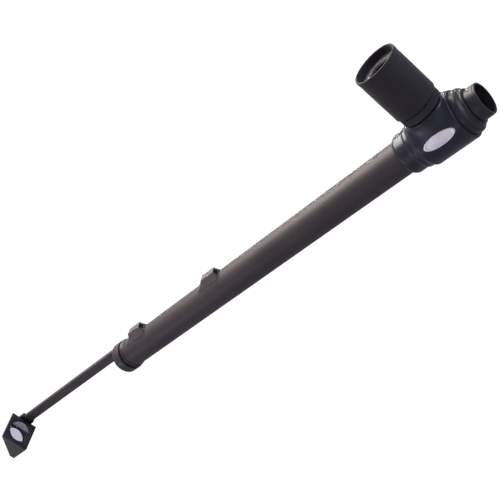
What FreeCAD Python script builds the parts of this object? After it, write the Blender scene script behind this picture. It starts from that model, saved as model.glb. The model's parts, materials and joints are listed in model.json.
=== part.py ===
"""Right-angle viewing telescope: a long tube with a flip-mirror diagonal head, a focusing eyepiece
with a rubber eyecup, an open rear port, and a turning prism carried ahead of the objective on an arm.

Millimetres, +Z up. The origin is the centre of the rear port's mouth. The tube's axis is X and the
tube lies towards -X. The eyepiece points along +Z.
"""
import os
import re

import FreeCAD
import Part
import Sketcher
from FreeCAD import Placement, Rotation, Vector

DIMENSIONS = {
    # fits
    "slip": (0.05, "radial clearance of a turned fit"),
    "gap": (0.3, "clearance between pieces that move past each other"),
    # main tube
    "tube_r": (19.0, "outside radius of the main tube"),
    "tube_wall": (1.6, "wall of the main tube"),
    "tube_front": (-590.6, "front end of the main tube"),
    "tube_rear": (-86.6, "rear end of the main tube"),
    "baffle_hole_r": (13.0, "light hole of a tube baffle"),
    "baffle_thick": (1.2, "thickness of a tube baffle"),
    "baffle_first": (-480.0, "station of the front baffle"),
    "baffle_pitch": (120.0, "distance between baffles"),
    "baffle_skirt": (6.0, "length of a tube baffle with its skirt"),
    "baffle_skirt_t": (1.0, "thickness of a tube baffle's skirt"),
    # diagonal head
    "eyepiece_x": (-52.6, "station of the eyepiece axis"),
    "head_r": (27.7, "outside radius of the head"),
    "head_front": (-76.2, "front of the head's full radius"),
    "head_rear": (-25.6, "rear face of the head"),
    "chamber_r": (23.4, "radius of the mirror chamber"),
    "chamber_front": (-77.8, "front wall of the mirror chamber"),
    "passage_r": (16.4, "light passage from tube to chamber"),
    "collar_r": (23.2, "radius of the collar that holds the tube"),
    "collar_front": (-102.6, "front of the collar"),
    "collar_lip": (2.0, "bevel at the front of the collar"),
    "step_r": (24.9, "radius of the step between collar and head"),
    "step_front": (-85.0, "front of the step"),
    "step_rear": (-80.6, "rear of the step"),
    "boss_r": (23.4, "radius of the eyepiece boss"),
    "boss_top": (30.0, "top of the eyepiece boss"),
    "boss_bore_r": (20.0, "bore of the eyepiece boss"),
    "boss_blend": (2.0, "fillet between boss and head"),
    # rear cover and port
    "cover_r": (24.8, "radius of the rear cover"),
    "cover_rear": (-17.1, "rear of the cover's rim"),
    "cover_spigot": (1.5, "depth of the cover's spigot in the chamber"),
    "hub_r": (20.8, "radius of the cover's hub"),
    "hub_rear": (-12.9, "rear of the cover's hub"),
    "neck_r": (18.2, "outside radius of the rear port"),
    "neck_front": (-12.6, "front of the rear port's thick part"),
    "sleeve_r": (17.0, "radius of the port sleeve inside the cover"),
    "port_r": (15.9, "bore of the rear port, for a standard 31.75 mm barrel"),
    "port_depth": (25.0, "depth of the rear port's bore"),
    "port_stop_r": (13.4, "light hole behind the rear port's stop"),
    "port_stop": (1.2, "thickness of the rear port's stop"),
    # flip mirror
    "hinge_x": (-65.68, "station of the mirror hinge"),
    "hinge_z": (-16.62, "height of the mirror hinge"),
    "mirror_lift": (2.5, "reflecting surface above the hinge line"),
    "mirror_glass": (2.0, "thickness of the flip mirror"),
    "mirror_start": (3.6, "near edge of the flip mirror from the hinge"),
    "mirror_end": (36.4, "far edge of the flip mirror from the hinge"),
    "mirror_w": (27.0, "width of the flip mirror"),
    "carrier_w": (27.6, "width of the mirror carrier"),
    "carrier_thick": (1.8, "thickness of the mirror carrier"),
    "carrier_hub_r": (2.9, "radius of the carrier's hub"),
    "carrier_hub_w": (23.0, "length of the carrier's hub"),
    "shaft_r": (2.0, "radius of the hinge shaft"),
    "shaft_near": (-17.3, "near end of the hinge shaft"),
    "shaft_far": (33.0, "far end of the hinge shaft"),
    "lug_y": (14.2, "inner face of the shaft lugs"),
    "lug_w": (10.0, "width of a shaft lug"),
    "bush_r": (3.5, "outside radius of the far shaft bush"),
    "bush_small_r": (2.9, "outside radius of the near shaft bush"),
    "bush_end": (17.6, "outer end of the near shaft bush"),
    "knob_y": (26.5, "inner face of the flip knob"),
    "knob_r": (6.5, "radius of the flip knob"),
    "knob_w": (8.0, "width of the flip knob"),
    "knob_gap": (0.5, "space between the far bush and the flip knob"),
    "grub_len": (3.5, "length of the knob's screw"),
    "washer_r": (4.5, "radius of the friction washer"),
    "washer_t": (0.35, "thickness of the friction washer"),
    # focuser
    "draw_r": (17.2, "outside radius of the draw tube"),
    "draw_bore_r": (15.2, "bore of the draw tube"),
    "draw_low": (18.0, "lower end of the draw tube"),
    "draw_high": (50.0, "upper end of the draw tube"),
    "guide_low": (16.0, "lower end of the focuser guide"),
    "guide_high": (36.0, "upper end of the focuser guide"),
    "guide_r": (20.9, "radius of the guide under the focus ring"),
    "guide_flange_r": (22.2, "radius of the guide's flange"),
    "guide_flange": (1.2, "thickness of the guide's flange"),
    "ring_low": (31.5, "lower face of the focus ring"),
    "ring_high": (40.2, "upper face of the focus ring"),
    "ring_r": (23.5, "radius of the focus ring"),
    "keeper_z": (33.7, "height of the focus ring's keeper"),
    "keeper_w": (0.7, "height of the keeper"),
    "groove_w": (1.0, "height of a keeper groove"),
    "groove_d": (0.6, "depth of a keeper groove"),
    "key_z": (27.0, "height of the key screw"),
    "key_r": (1.5, "radius of the key screw"),
    "slot_top": (29.0, "top of the draw tube's key slot"),
    "slot_w": (3.2, "width of the key slot"),
    # eyepiece
    "barrel_low": (41.2, "lower face of the eyepiece barrel"),
    "barrel_floor": (3.0, "floor of the eyepiece barrel"),
    "barrel_r": (22.7, "outside radius of the eyepiece barrel"),
    "barrel_bore_r": (20.8, "bore of the eyepiece barrel"),
    "barrel_high": (88.5, "upper end of the eyepiece barrel"),
    "bezel_high": (91.5, "upper face of the eye-lens bezel"),
    "bezel_hole_r": (10.5, "hole of the eye-lens bezel"),
    "bezel_spigot": (5.0, "length of the bezel's spigot"),
    "cup_r": (25.0, "outside radius of the eyecup"),
    "cup_lip_r": (25.2, "outside radius of the eyecup's lip"),
    "cup_mouth_r": (23.4, "radius of the eyecup's mouth"),
    "cup_high": (99.5, "top of the eyecup"),
    "stop_z": (44.6, "height of the field stop"),
    "stop_r": (10.0, "hole of the field stop"),
    "field_lens_z": (54.0, "height of the field lens"),
    "field_lens_t": (7.0, "thickness of the field lens"),
    "spacer_low": (57.8, "lower end of the eyepiece spacer"),
    "spacer_high": (72.6, "upper end of the eyepiece spacer"),
    "eye_lens_z": (77.5, "height of the eye lens"),
    "eye_lens_t": (7.0, "thickness of the eye lens"),
    "eye_lens_r": (13.0, "radius of the eye lens"),
    "field_curve": (80.0, "radius of the field lens's faces"),
    "eye_curve": (34.0, "radius of the eye lens's faces"),
    "cell_lip": (1.4, "lip that holds the eye lens"),
    "cell_high": (83.2, "top of the eye lens's cell"),
    # objective
    "cell_rim_r": (20.6, "radius of the objective cell's rim"),
    "cell_rim_front": (-594.2, "front of the objective cell's rim"),
    "cell_rear": (-572.6, "rear end of the objective cell"),
    "spigot_r": (18.4, "spigot that the end ring turns on"),
    "spigot_front": (-608.6, "front of the spigot"),
    "lens_bore_r": (16.0, "bore of the objective cell"),
    "lens_seat": (-587.6, "seat of the objective lenses"),
    "lens_stop_r": (14.8, "clear radius of the objective"),
    "crown_x": (-596.6, "centre of the crown lens"),
    "crown_t": (6.0, "thickness of the crown lens"),
    "flint_x": (-590.2, "centre of the flint lens"),
    "flint_t": (4.6, "thickness of the flint lens"),
    "flint_sag": (1.6, "depth of the flint lens's hollow face"),
    "lens_curve": (62.0, "radius of the objective's inner curves"),
    "retainer_t": (2.5, "thickness of the lens retainer"),
    # end ring
    "end_r": (21.5, "radius of the end ring"),
    "end_rear": (-597.6, "rear face of the end ring"),
    "end_front": (-609.1, "front face of the end ring"),
    "counterbore": (2.9, "depth of the end ring's counterbore"),
    "counterbore_r": (20.0, "radius of the end ring's counterbore"),
    "cap_front": (-612.6, "front face of the end cap"),
    "cap_r": (20.6, "radius at the front of the end cap"),
    "cap_hole_r": (17.0, "light hole of the end cap"),
    "clip_x": (-607.4, "station of the retaining clip"),
    "clip_r": (19.4, "outside radius of the retaining clip"),
    "clip_t": (0.8, "thickness of the retaining clip"),
    "seat_low": (16.0, "inner end of the arm's seat before it is bored"),
    "arm_screw_first": (3.0, "first arm screw from the end ring's rear face"),
    "arm_screw_pitch": (5.6, "distance between the arm's screws"),
    # arm
    "arm_y": (21.8, "inner face of the arm"),
    "arm_t": (6.0, "thickness of the arm"),
    "arm_w": (13.5, "width of the arm"),
    "arm_z": (1.5, "height of the arm's centre line above the tube's axis"),
    "arm_rear": (-598.1, "rear end of the arm"),
    "tongue_x": (-886.9, "shoulder where the arm's tongue starts"),
    "tongue_end": (-912.6, "end of the arm's tongue"),
    "tongue_t": (2.95, "thickness of the arm's tongue"),
    "bracket_w": (20.0, "width of the bracket"),
    "bracket_end": (-915.1, "front end of the bracket"),
    "bracket_screw_first": (5.0, "first bracket screw from the housing's front plate"),
    "bracket_screw_pitch": (9.0, "distance between the bracket's screws"),
    # prism housing
    "plate_x": (-895.1, "rear face of the prism housing's chamber"),
    "plate_w": (43.5, "side of the square front plate"),
    "plate_z": (3.5, "height of the front plate's centre above the tube's axis"),
    "sheet": (1.5, "thickness of the housing's sheet metal"),
    "window_r": (16.0, "radius of a housing window"),
    "floor_b": (16.75, "housing floor below the tube's axis"),
    "wall_y": (21.6, "outer face of a housing side plate"),
    "back_a": (37.5, "depth of the housing"),
    "heel_b": (6.25, "height of the housing's heel"),
    "crown_a": (2.0, "depth of the housing at its top edge"),
    "crown_b": (41.75, "height of the housing at its top edge"),
    "prism_leg": (35.5, "leg of the right-angle prism"),
    "prism_w": (39.6, "width of the prism"),
    "prism_play": (0.4, "play between prism and plates"),
    "pad_t": (3.4, "thickness of the prism's pressure pad"),
    "pad_margin": (8.0, "pad's ends from the prism's edges"),
    "pad_w": (30.0, "width of the pad"),
    # sights, badge and small fasteners
    "sight_len": (38.0, "length of a sight"),
    "sight_w": (10.0, "width of a sight"),
    "sight_hole_r": (2.6, "radius of a sight's tunnel"),
    "sight_roof": (1.2, "metal above a sight's tunnel"),
    "sight_toe": (0.4, "height of a sight's front end above the tube"),
    "sight_ramp": (4.0, "height of the foot of a sight's ramp above the tube"),
    "ramp_foot": (27.4, "foot of a sight's ramp from its rear face"),
    "ramp_head": (22.8, "head of a sight's ramp from its rear face"),
    "mouth_w": (6.4, "side of the square mouth at a sight's rear face"),
    "mouth_d": (5.0, "depth of a sight's mouth"),
    "sight_screw_near": (8.0, "rear screw of a sight from its rear face"),
    "sight_screw_far": (20.0, "front screw of a sight from its rear face"),
    "sight_foot": (15.0, "underside of a sight before it is fitted to the tube"),
    "front_sight_x": (-540.8, "rear face of the front sight"),
    "rear_sight_x": (-386.8, "rear face of the rear sight"),
    "front_sight_top": (28.0, "top of the front sight"),
    "rear_sight_top": (27.0, "top of the rear sight"),
    "badge_x": (-51.6, "station of the badge"),
    "badge_half_l": (19.0, "half length of the badge"),
    "badge_half_w": (6.6, "half width of the badge"),
    "badge_t": (0.8, "thickness of the badge"),
    "screw_r": (1.2, "radius of a small screw"),
    "screw_head_r": (2.3, "radius of a small screw's head"),
    "screw_head_t": (1.4, "height of a small screw's head"),
}
BADGE_TILT = 12.0
AXIS_X = Rotation(Vector(0, 0, 1), Vector(1, 0, 0))
AXIS_Y = Rotation(Vector(0, 0, 1), Vector(0, 1, 0))
MIRROR_TILT = Rotation(Vector(0, 1, 0), -45)
FACING_FRONT = Rotation(Vector(0, 0, 1), 180)

doc = FreeCAD.newDocument("right_angle_telescope")
sheet = doc.addObject("Spreadsheet::Sheet", "dims")
parts = []


def fill_sheet():
    """Writes each driving dimension into the sheet, with its meaning and its alias."""
    for row, (alias, (value, meaning)) in enumerate(DIMENSIONS.items(), 1):
        sheet.set(f"A{row}", meaning)
        sheet.set(f"B{row}", str(value))
        sheet.setAlias(f"B{row}", alias)
    doc.recompute()


def formula(text):
    """The expression that reads every dimension named in text from the sheet."""
    return re.sub(r"[a-z]\w+", lambda name: "dims." + name.group(), text)


def number(text):
    """The value of a formula, as a start for the sketch solver."""
    return float(sheet.evalExpression(formula(text)))


def bind(obj, **sizes):
    """Binds properties of obj to formulas."""
    for name, text in sizes.items():
        obj.setExpression(name, formula(text))
    return obj


def place(obj, at, rotation=Rotation()):
    """Puts obj at a point given by three formulas, turned by rotation."""
    obj.Placement = Placement(Vector(), rotation)
    for letter, text in zip("xyz", at):
        obj.setExpression(f"Placement.Base.{letter}", formula(text))
    return obj


def node(obj, name):
    """Declares obj as the sub-part called name."""
    obj.Label = name
    parts.append(obj)
    return obj


# ---- sketches and the solids made from them ----

ORIGIN = ("0", "0", "0")


def new_body(name, at=ORIGIN, rotation=Rotation()):
    return place(doc.addObject("PartDesign::Body", name), at, rotation)


def new_sketch(body, role):
    """A sketch on one of the body's own origin planes."""
    sketch = body.newObject("Sketcher::SketchObject", body.Name + "_sketch")
    plane = next(f for f in body.Origin.OriginFeatures if f.Role == role)
    sketch.AttachmentSupport = (plane, [""])
    sketch.MapMode = "FlatFace"
    return sketch


def hold_point(sketch, item, end, across, up):
    """Constrains one point of a sketch to a place given by two formulas."""
    for kind, text in (("DistanceX", across), ("DistanceY", up)):
        made = sketch.addConstraint(Sketcher.Constraint(kind, -1, 1, item, end, number(text)))
        sketch.setExpression(f"Constraints[{made}]", formula(text))


def draw_outline(sketch, points):
    """Draws a closed outline of straight edges through points, each a pair of formulas."""
    first = sketch.GeometryCount
    corners = [Vector(number(across), number(up), 0) for across, up in points]
    count = len(points)
    for i in range(count):
        sketch.addGeometry(Part.LineSegment(corners[i], corners[(i + 1) % count]), False)
    for i in range(count):
        following = first + (i + 1) % count
        sketch.addConstraint(Sketcher.Constraint("Coincident", first + i, 2, following, 1))
    for i, (across, up) in enumerate(points):
        hold_point(sketch, first + i, 1, across, up)


def draw_circle(sketch, across, up, radius):
    item = sketch.addGeometry(
        Part.Circle(Vector(number(across), number(up), 0), Vector(0, 0, 1), number(radius)), False
    )
    hold_point(sketch, item, 3, across, up)
    made = sketch.addConstraint(Sketcher.Constraint("Radius", item, number(radius)))
    sketch.setExpression(f"Constraints[{made}]", formula(radius))


def turned(name, points, about="H_Axis", at=ORIGIN, rotation=Rotation()):
    """A turned piece: a half section of (station, radius) points, spun about X or Z."""
    body = new_body(name, at, rotation)
    sketch = new_sketch(body, "XZ_Plane")
    draw_outline(sketch, points)
    spin = body.newObject("PartDesign::Revolution", name + "_spin")
    spin.Profile = sketch
    spin.ReferenceAxis = (sketch, [about])
    spin.Angle = 360
    return body


def turned_up(name, points):
    """A turned piece on the eyepiece axis, from (radius, height) points."""
    return turned(name, points, "V_Axis", ("eyepiece_x", "0", "0"))


def cut_plate(name, role, points, thickness, at=ORIGIN, rotation=Rotation(), holes=()):
    """A flat piece: an outline with round holes, padded evenly to both sides of its plane."""
    body = new_body(name, at, rotation)
    sketch = new_sketch(body, role)
    draw_outline(sketch, points)
    for across, up, radius in holes:
        draw_circle(sketch, across, up, radius)
    pad = body.newObject("PartDesign::Pad", name + "_pad")
    pad.Profile = sketch
    pad.SideType = "Symmetric"
    bind(pad, Length=thickness)
    return body


# ---- primitives and booleans ----


def cylinder(name, radius, length, at, rotation=Rotation()):
    rod = bind(doc.addObject("Part::Cylinder", name), Radius=radius, Height=length)
    return place(rod, at, rotation)


def block(name, size, at, rotation=Rotation()):
    box = doc.addObject("Part::Box", name)
    bind(box, Length=size[0], Width=size[1], Height=size[2])
    return place(box, at, rotation)


def ball(name, radius, at):
    return place(bind(doc.addObject("Part::Sphere", name), Radius=radius), at)


def fused(name, pieces):
    whole = doc.addObject("Part::MultiFuse", name)
    whole.Shapes = pieces
    return whole


def shared(name, pieces):
    whole = doc.addObject("Part::MultiCommon", name)
    whole.Shapes = pieces
    return whole


def grouped(name, pieces):
    whole = doc.addObject("Part::Compound", name)
    whole.Links = pieces
    return whole


def cut(name, base, tools):
    """base with every tool taken away."""
    result = doc.addObject("Part::Cut", name)
    result.Base = base
    result.Tool = tools[0] if len(tools) == 1 else fused(name + "_tools", tools)
    return result


def screw(name, length, at, rotation=Rotation()):
    """A small screw: its head stands on the point at, and its shank goes along the rotation's axis."""
    shank = cylinder(name + "_shank", "screw_r", length, ORIGIN)
    cap = cylinder(name + "_head", "screw_head_r", "screw_head_t", ("0", "0", "-screw_head_t"))
    return place(fused(name, [cap, shank]), at, rotation)


# ---- main tube ----


def sight_screw_stations():
    """Stations of the four screws that hold the two sights."""
    return [
        f"{end}_sight_x - {offset}"
        for end in ("front", "rear")
        for offset in ("sight_screw_near", "sight_screw_far")
    ]


def main_tube():
    inner = "tube_r - tube_wall"
    tube = turned("tube_stock", [
        ("tube_front", inner), ("tube_rear", inner), ("tube_rear", "tube_r"), ("tube_front", "tube_r"),
    ])
    holes = [
        cylinder(f"tube_hole_{i}", "screw_r + slip", "tube_wall + 2",
                 (x, "0", "tube_r - tube_wall - 1"))
        for i, x in enumerate(sight_screw_stations())
    ]
    node(cut("tube_drilled", tube, holes), "main_tube")


def baffle(i):
    """One light baffle: a disc with a skirt that holds it in the tube."""
    front = f"baffle_first + {i} * baffle_pitch"
    step, rear = f"{front} + baffle_thick", f"{front} + baffle_skirt"
    outer = "tube_r - tube_wall - slip"
    inner = f"{outer} - baffle_skirt_t"
    return turned(f"baffle_{i}", [
        (front, "baffle_hole_r"), (step, "baffle_hole_r"), (step, inner), (rear, inner),
        (rear, outer), (front, outer),
    ])


def tube_baffles():
    node(grouped("baffle_set", [baffle(i) for i in range(3)]), "tube_baffles")


def sight(name, rear, top):
    """A tunnel sight: a ramped lug on a saddle, with a round tunnel that starts in a square mouth."""
    profile = [
        ("-sight_len", "sight_foot"), ("-sight_len", "tube_r + sight_toe"),
        ("-ramp_foot", "tube_r + sight_ramp"), ("-ramp_head", top), ("-1", top), ("0", f"{top} - 1"),
        ("0", "sight_foot"),
    ]
    lug = cut_plate(name + "_stock", "XZ_Plane", profile, "sight_w", (rear, "0", "0"))
    front = f"{rear} - sight_len - 1"
    height = f"{top} - sight_roof - sight_hole_r"
    saddle = cylinder(name + "_saddle", "tube_r + slip", "sight_len + 2", (front, "0", "0"), AXIS_X)
    tunnel = cylinder(name + "_tunnel", "sight_hole_r", "sight_len + 2", (front, "0", height), AXIS_X)
    mouth = block(name + "_mouth", ("mouth_d + 1", "mouth_w", "mouth_w"),
                  (f"{rear} - mouth_d", "-mouth_w / 2", f"{top} - sight_roof - mouth_w"))
    holes = [
        cylinder(f"{name}_hole_{offset}", "screw_r + slip", "3.2",
                 (f"{rear} - {offset}", "0", "tube_r - 1"))
        for offset in ("sight_screw_near", "sight_screw_far")
    ]
    node(cut(name + "_cut", lug, [saddle, tunnel, mouth, *holes]), name)


def sight_screws():
    """Screws from inside the tube up into the sights."""
    screws = [
        screw(f"sight_screw_{i}", "tube_wall + 1.8", (x, "0", "tube_r - tube_wall - 0.2"))
        for i, x in enumerate(sight_screw_stations())
    ]
    node(grouped("sight_screw_set", screws), "sight_screws")


# ---- diagonal head ----


def on_head(edge):
    """True for the edge where the eyepiece boss meets the head's cylinder."""
    points = edge.discretize(7)
    centre = number("eyepiece_x")
    from_boss = [abs(Vector(p.x - centre, p.y, 0).Length - number("boss_r")) for p in points]
    from_head = [abs(Vector(0, p.y, p.z).Length - number("head_r")) for p in points]
    return max(from_boss) < 0.01 and max(from_head) < 0.01


def head_shell():
    """The head's outside: a turned body with the eyepiece boss blended into its top."""
    shell = turned("head_shell", [
        ("collar_front", "0"), ("collar_front", "collar_r - collar_lip"),
        ("collar_front + 2 * collar_lip", "collar_r"), ("step_front - collar_lip", "collar_r"),
        ("step_front", "step_r"), ("step_rear", "step_r"),
        ("head_front", "head_r"), ("head_rear", "head_r"), ("head_rear", "0"),
    ])
    sketch = new_sketch(shell, "XY_Plane")
    draw_circle(sketch, "eyepiece_x", "0", "boss_r")
    boss = shell.newObject("PartDesign::Pad", "head_boss")
    boss.Profile = sketch
    bind(boss, Length="boss_top")
    doc.recompute()
    seams = [f"Edge{i}" for i, edge in enumerate(boss.Shape.Edges, 1) if on_head(edge)]
    blend = shell.newObject("PartDesign::Fillet", "head_blend")
    blend.Base = (boss, seams)
    bind(blend, Radius="boss_blend")
    return shell


def head_hollow():
    """The space inside the head, with the shaft lugs left standing in the mirror chamber."""
    light_path = turned("head_light_path", [
        ("collar_front - 1", "0"), ("collar_front - 1", "tube_r + slip"),
        ("tube_rear + slip", "tube_r + slip"),
        ("tube_rear + slip", "passage_r"), ("chamber_front", "passage_r"), ("chamber_front", "chamber_r"),
        ("head_rear + 1", "chamber_r"), ("head_rear + 1", "0"),
    ])
    lugs = [
        block(f"lug_{side}", ("lug_w", "6", "lug_w"), ("hinge_x - lug_w / 2", y, "hinge_z - lug_w / 2"))
        for side, y in (("near", "-lug_y - 6"), ("far", "lug_y"))
    ]
    eye_bore = cylinder("boss_bore", "boss_bore_r", "boss_top + 1", ("eyepiece_x", "0", "0"))
    return fused("head_hollow", [cut("chamber", light_path, lugs), eye_bore])


def head_body():
    holes = [
        cylinder("near_bush_hole", "bush_small_r + slip", "bush_end",
                 ("hinge_x", "-bush_end - slip", "hinge_z"), AXIS_Y),
        cylinder("far_bush_hole", "bush_r + slip", "30", ("hinge_x", "0", "hinge_z"), AXIS_Y),
        cylinder("key_hole", "key_r + slip", "30", ("eyepiece_x", "0", "key_z"), AXIS_Y),
    ]
    node(cut("head_cut", head_shell(), [head_hollow(), *holes]), "head_body")


def rear_cover():
    """The cover that closes the mirror chamber and carries the port sleeve."""
    cover = turned("rear_cover_body", [
        ("head_rear - cover_spigot", "sleeve_r + slip"), ("head_rear - cover_spigot", "chamber_r - slip"),
        ("head_rear", "chamber_r - slip"), ("head_rear", "cover_r"), ("cover_rear - 1.2", "cover_r"),
        ("cover_rear", "cover_r - 1.5"), ("cover_rear + 0.6", "hub_r"), ("hub_rear - 1", "hub_r"),
        ("hub_rear", "hub_r - 1"), ("hub_rear", "sleeve_r + slip"),
    ])
    node(cover, "rear_cover")


def port_sleeve():
    """The open rear port, with a stop at the bottom of its bore."""
    sleeve = turned("port_sleeve_body", [
        ("-port_depth - port_stop", "port_stop_r"), ("-port_depth - port_stop", "sleeve_r"),
        ("neck_front", "sleeve_r"), ("neck_front", "neck_r"), ("-0.6", "neck_r"), ("0", "neck_r - 0.6"),
        ("0", "port_r"), ("-port_depth", "port_r"), ("-port_depth", "port_stop_r"),
    ])
    node(sleeve, "port_sleeve")


def badge():
    """A plain oval plate, curved to the head's side."""
    outside = cylinder("badge_outside", "head_r + slip + badge_t", "4 * badge_half_l",
                       ("badge_x - 2 * badge_half_l", "0", "0"), AXIS_X)
    inside = cylinder("badge_inside", "head_r + slip", "4 * badge_half_l + 2",
                      ("badge_x - 2 * badge_half_l - 1", "0", "0"), AXIS_X)
    oval = doc.addObject("Part::Ellipse", "badge_oval")
    bind(oval, MajorRadius="badge_half_l", MinorRadius="badge_half_w")
    stamp = doc.addObject("Part::Extrusion", "badge_stamp")
    stamp.Base = oval
    stamp.DirMode = "Custom"
    stamp.Dir = Vector(0, 0, 1)
    stamp.Solid = True
    bind(stamp, LengthFwd="head_r + 5")
    place(stamp, ("badge_x", "0", "0"), Rotation(Vector(1, 0, 0), 90 - BADGE_TILT))
    node(shared("badge_form", [cut("badge_shell", outside, [inside]), stamp]), "badge_plate")


# ---- flip mirror ----

HINGE = ("hinge_x", "0", "hinge_z")


def on_shaft(name, radius, low, high):
    """A cylinder on the hinge line, from one station across the head to another."""
    return cylinder(name, radius, f"{high} - ({low})", ("hinge_x", low, "hinge_z"), AXIS_Y)


def flip_mirror():
    glass = cut_plate("mirror_body", "XZ_Plane", [
        ("mirror_start", "mirror_lift - mirror_glass"), ("mirror_end", "mirror_lift - mirror_glass"),
        ("mirror_end", "mirror_lift"), ("mirror_start", "mirror_lift"),
    ], "mirror_w", HINGE, MIRROR_TILT)
    node(glass, "flip_mirror")


def mirror_carrier():
    top = "mirror_lift - mirror_glass - slip"
    low = "mirror_lift - mirror_glass - slip - carrier_thick"
    web = cut_plate("carrier_web", "XZ_Plane", [
        ("0", low), ("mirror_end + gap", low), ("mirror_end + gap", top), ("0", top),
    ], "carrier_w", HINGE, MIRROR_TILT)
    hub = on_shaft("carrier_hub", "carrier_hub_r", "-carrier_hub_w / 2", "carrier_hub_w / 2")
    bore = on_shaft("carrier_bore", "shaft_r + slip / 2", "-20", "20")
    node(cut("carrier_cut", fused("carrier_stock", [web, hub]), [bore]), "mirror_carrier")


def mirror_shaft():
    node(on_shaft("shaft_rod", "shaft_r", "shaft_near", "shaft_far"), "mirror_shaft")


def shaft_bushes():
    near = on_shaft("near_bush", "bush_small_r", "-bush_end", "-lug_y")
    far = on_shaft("far_bush", "bush_r", "lug_y", "knob_y - knob_gap")
    bore = on_shaft("bush_bore", "shaft_r + slip", "-30", "30")
    pair = [cut("near_bush_cut", near, [bore]), cut("far_bush_cut", far, [bore])]
    node(grouped("bush_set", pair), "shaft_bushes")


def flip_knob():
    knob = on_shaft("knob_stock", "knob_r", "knob_y", "knob_y + knob_w")
    bore = on_shaft("knob_bore", "shaft_r + slip / 2", "knob_y - 1", "shaft_far + 0.2")
    middle = "knob_y + knob_w / 2"
    screw_hole = cylinder("knob_screw_hole", "screw_r + slip", "knob_r + 2", ("hinge_x", middle, "hinge_z"))
    node(cut("knob_cut", knob, [bore, screw_hole]), "flip_knob")
    seat = ("hinge_x", middle, "hinge_z + shaft_r + 0.1")
    node(cylinder("knob_grub", "screw_r", "grub_len", seat), "knob_screw")


def friction_washer():
    disc = on_shaft("washer_stock", "washer_r", "knob_y - slip - washer_t", "knob_y - slip")
    hole = on_shaft("washer_hole", "shaft_r + slip", "knob_y - 2", "knob_y + 2")
    node(cut("washer_cut", disc, [hole]), "friction_washer")


# ---- focuser ----


def groove_outline(radius, depth):
    """The corners of a square keeper groove at a radius, from its lower edge to its upper."""
    low, high = "keeper_z - groove_w / 2", "keeper_z + groove_w / 2"
    return [(radius, low), (f"{radius} {depth}", low), (f"{radius} {depth}", high), (radius, high)]


def focuser_guide():
    """The fixed guide in the boss, which the draw tube slides in and the focus ring turns on."""
    bore = "draw_r + slip"
    guide = turned_up("guide_stock", [
        (bore, "guide_low"), ("boss_bore_r - slip", "guide_low"), ("boss_bore_r - slip", "boss_top"),
        ("guide_flange_r", "boss_top"), ("guide_flange_r", "boss_top + guide_flange"),
        ("guide_r", "boss_top + guide_flange"), *groove_outline("guide_r", "- groove_d"),
        ("guide_r", "guide_high"), (bore, "guide_high"),
    ])
    hole = cylinder("guide_key_hole", "key_r + slip", "30", ("eyepiece_x", "0", "key_z"), AXIS_Y)
    node(cut("guide_cut", guide, [hole]), "focuser_guide")


def focus_ring():
    inner = "guide_r + 2 * slip"
    ring = turned_up("focus_ring_body", [
        (inner, "ring_low"), ("ring_r - 0.5", "ring_low"), ("ring_r", "ring_low + 0.5"),
        ("ring_r", "ring_high - 0.5"), ("ring_r - 0.5", "ring_high"), ("draw_r + 2 * slip", "ring_high"),
        ("draw_r + 2 * slip", "guide_high + gap"), (inner, "guide_high + gap"),
        *reversed(groove_outline(inner, "+ groove_d")),
    ])
    node(ring, "focus_ring")


def keeper_ring():
    low, high = "keeper_z - keeper_w / 2", "keeper_z + keeper_w / 2"
    ring = turned_up("keeper_body", [
        ("guide_r - 0.5", low), ("guide_r + 0.5", low), ("guide_r + 0.5", high), ("guide_r - 0.5", high),
    ])
    node(ring, "keeper_ring")


def draw_tube():
    tube = turned_up("draw_stock", [
        ("draw_bore_r", "draw_low"), ("draw_r", "draw_low"),
        ("draw_r", "draw_high"), ("draw_bore_r", "draw_high"),
    ])
    slot = block("key_slot", ("slot_w", "10", "slot_top - draw_low + 1"),
                 ("eyepiece_x - slot_w / 2", "draw_bore_r - 3", "draw_low - 1"))
    node(cut("draw_cut", tube, [slot]), "draw_tube")


def key_screw():
    start = "draw_bore_r + gap"
    at = ("eyepiece_x", start, "key_z")
    node(cylinder("key_rod", "key_r", f"boss_r - 0.4 - ({start})", at, AXIS_Y), "key_screw")


# ---- eyepiece ----


def eyepiece_barrel():
    barrel = turned_up("barrel_body", [
        ("draw_r + slip", "barrel_low"), ("barrel_r", "barrel_low"), ("barrel_r", "barrel_high"),
        ("barrel_bore_r", "barrel_high"), ("barrel_bore_r", "barrel_low + barrel_floor"),
        ("draw_r + slip", "barrel_low + barrel_floor"),
    ])
    node(barrel, "eyepiece_barrel")


def eyecup():
    """The rubber eyecup: a long sleeve over the barrel that opens into a flared cup."""
    cup = turned_up("eyecup_body", [
        ("barrel_r + slip", "barrel_low"), ("cup_r - 0.8", "barrel_low"), ("cup_r", "barrel_low + 0.8"),
        ("cup_r", "cup_high - 3"), ("cup_lip_r", "cup_high - 1"), ("cup_lip_r - 0.4", "cup_high"),
        ("cup_mouth_r", "cup_high"), ("cup_mouth_r - 0.4", "cup_high - 2"),
        ("cup_mouth_r - 0.4", "bezel_high + slip"),
        ("barrel_r + slip", "bezel_high + slip"),
    ])
    node(cup, "eyecup")


def eye_bezel():
    bezel = turned_up("bezel_body", [
        ("bezel_hole_r + 3", "barrel_high - bezel_spigot"),
        ("barrel_bore_r - slip", "barrel_high - bezel_spigot"),
        ("barrel_bore_r - slip", "barrel_high"), ("barrel_r", "barrel_high"), ("barrel_r", "bezel_high"),
        ("bezel_hole_r + 1.5", "bezel_high"), ("bezel_hole_r", "bezel_high - 1.5"),
        ("bezel_hole_r", "barrel_high - 1"),
    ])
    node(bezel, "eye_bezel")


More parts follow.
